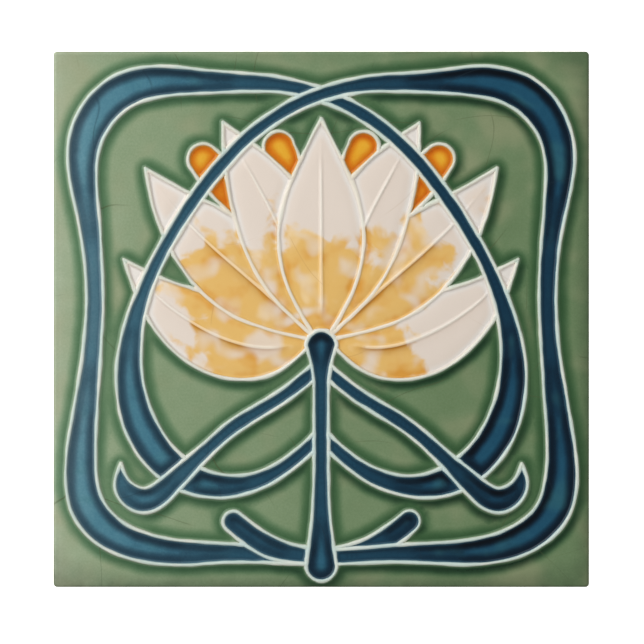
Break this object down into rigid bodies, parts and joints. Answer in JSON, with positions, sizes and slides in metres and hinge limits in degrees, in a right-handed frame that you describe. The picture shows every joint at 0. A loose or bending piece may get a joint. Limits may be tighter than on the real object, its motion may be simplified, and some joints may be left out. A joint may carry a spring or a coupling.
{
  "type": "art nouveau tile",
  "caption": "Square glazed ceramic wall tile with raised lines drawing a flower and whiplash stems on its face, and shallow keys on its back.",
  "frame": {"origin": "middle of the back, on the surface that the tile lies on", "axes": "+Z out of the decorated face, +Y towards the top of the design, +X to the right of someone looking at the face"},
  "size_m": [0.1524, 0.1524, 0.0101],
  "materials": {
    "tile_body": "buff pressed clay, bare on the back and thinly glazed on the sides",
    "green_glaze": "glossy sea-green glaze, darker where it pools by the raised lines",
    "blue_glaze": "glossy teal glaze, navy where it pools",
    "cream_glaze": "glossy cream glaze stained with ochre",
    "amber_glaze": "glossy amber glaze, brown at its rim",
    "line_glaze": "pale clay line showing through a thin glaze"
  },
  "bodies": {
    "root": {"tile": "green_glaze"}
  },
  "joints": []
}
